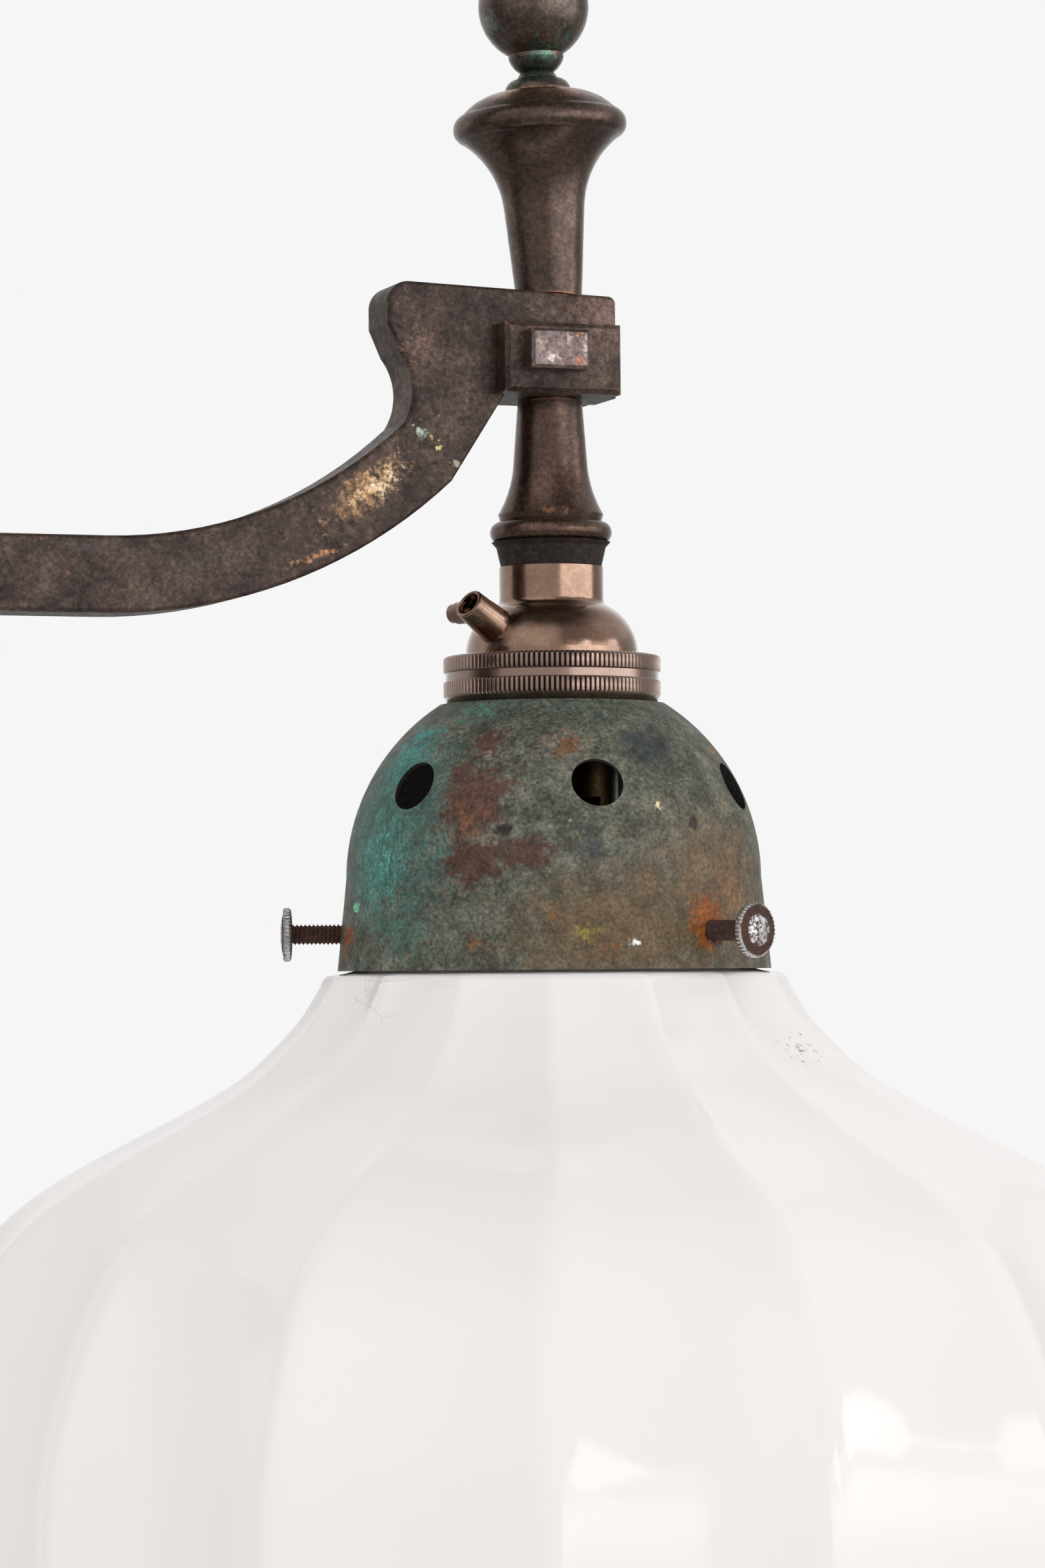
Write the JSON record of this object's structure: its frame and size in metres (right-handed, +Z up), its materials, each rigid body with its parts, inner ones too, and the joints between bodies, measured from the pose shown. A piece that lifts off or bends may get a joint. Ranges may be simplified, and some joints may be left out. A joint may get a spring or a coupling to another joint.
{
  "type": "wall lamp",
  "caption": "Swan-neck wall lamp: square arm swept up to a hooked end block with vase and finial, and below it a swivelling bayonet lampholder with vented gallery and fluted opal glass shade.",
  "frame": {"origin": "centre of the wall plate's back face, on the wall", "axes": "+X runs out from the wall along the arm, +Z is up, +Y completes a right-handed set"},
  "size_m": [0.3787, 0.2574, 0.3493],
  "materials": {
    "patinated_bronze": "dark brown patina with worn copper edges",
    "worn_bronze": "handled antique bronze, satin",
    "verdigris_brass": "spun brass, tarnished with verdigris",
    "bare_brass": "dull bare brass",
    "worn_steel": "dull plated steel",
    "rusted_steel": "pitted plating with rust",
    "spring_steel": "drawn wire",
    "black_lacquer": "worn black lacquer on brass",
    "opal_glass": "glossy opaque opal",
    "porcelain": "glazed porcelain",
    "moulded_insulation": "moulded, dark brown",
    "flex_sheath": "sheathed flex",
    "core_insulation": "single insulated cores"
  },
  "bodies": {
    "bracket": {"wall_plate": "patinated_bronze", "arm_socket": "patinated_bronze", "socket_screw": "worn_steel", "terminal_block": "moulded_insulation", "terminal_block_screws": "bare_brass", "arm_bar": "patinated_bronze", "end_block": "patinated_bronze", "arm_flex": "flex_sheath", "vase": "patinated_bronze", "finial": "patinated_bronze", "finial_stud": "worn_steel"},
    "lock_key": {"lock_key": "worn_bronze"},
    "lamp": {"stem_tube": "worn_steel", "baluster": "patinated_bronze", "collar": "black_lacquer", "holder_cap": "worn_bronze", "earth_terminal": "worn_bronze", "earth_screw": "worn_bronze", "union_ring": "worn_bronze", "shade_ring_upper": "worn_bronze", "shade_ring_lower": "worn_bronze", "holder_barrel": "bare_brass", "holder_insert": "porcelain", "terminal_posts": "bare_brass", "terminal_screws": "bare_brass", "stem_flex": "flex_sheath", "lamp_cores": "core_insulation", "contact_spring_1": "spring_steel", "contact_spring_2": "spring_steel", "gallery": "verdigris_brass", "shade": "opal_glass"},
    "contact_plunger_1": {"contact_plunger_1": "bare_brass"},
    "contact_plunger_2": {"contact_plunger_2": "bare_brass"},
    "gallery_screw_1": {"gallery_screw_1": "rusted_steel"},
    "gallery_screw_2": {"gallery_screw_2": "rusted_steel"},
    "gallery_screw_3": {"gallery_screw_3": "rusted_steel"}
  },
  "joints": [
    {"name": "stem_swivel", "type": "hinge", "parent": "bracket", "child": "lamp", "pos_m": [0.25, 0, 0.04], "axis": [0, 0, 1], "range_deg": [-90, 90]},
    {"name": "lock_key_travel", "type": "slide", "parent": "bracket", "child": "lock_key", "axis": [0, -1, 0], "range_m": [0, 0.004]},
    {"name": "contact_press_1", "type": "slide", "parent": "lamp", "child": "contact_plunger_1", "axis": [0, 0, 1], "range_m": [0, 0.0025], "stiffness_N_per_m": 1500, "springref_m": -0.002, "deforming": ["contact_spring_1"]},
    {"name": "contact_press_2", "type": "slide", "parent": "lamp", "child": "contact_plunger_2", "axis": [0, 0, 1], "range_m": [0, 0.0025], "stiffness_N_per_m": 1500, "springref_m": -0.002, "deforming": ["contact_spring_2"]},
    {"name": "gallery_screw_travel_1", "type": "slide", "parent": "lamp", "child": "gallery_screw_1", "axis": [0.4384, -0.8988, 0], "range_m": [0, 0.0035]},
    {"name": "gallery_screw_travel_2", "type": "slide", "parent": "lamp", "child": "gallery_screw_2", "axis": [0.6428, 0.766, 0], "range_m": [0, 0.0035]},
    {"name": "gallery_screw_travel_3", "type": "slide", "parent": "lamp", "child": "gallery_screw_3", "axis": [-0.9563, 0.2924, 0], "range_m": [0, 0.0035]}
  ]
}
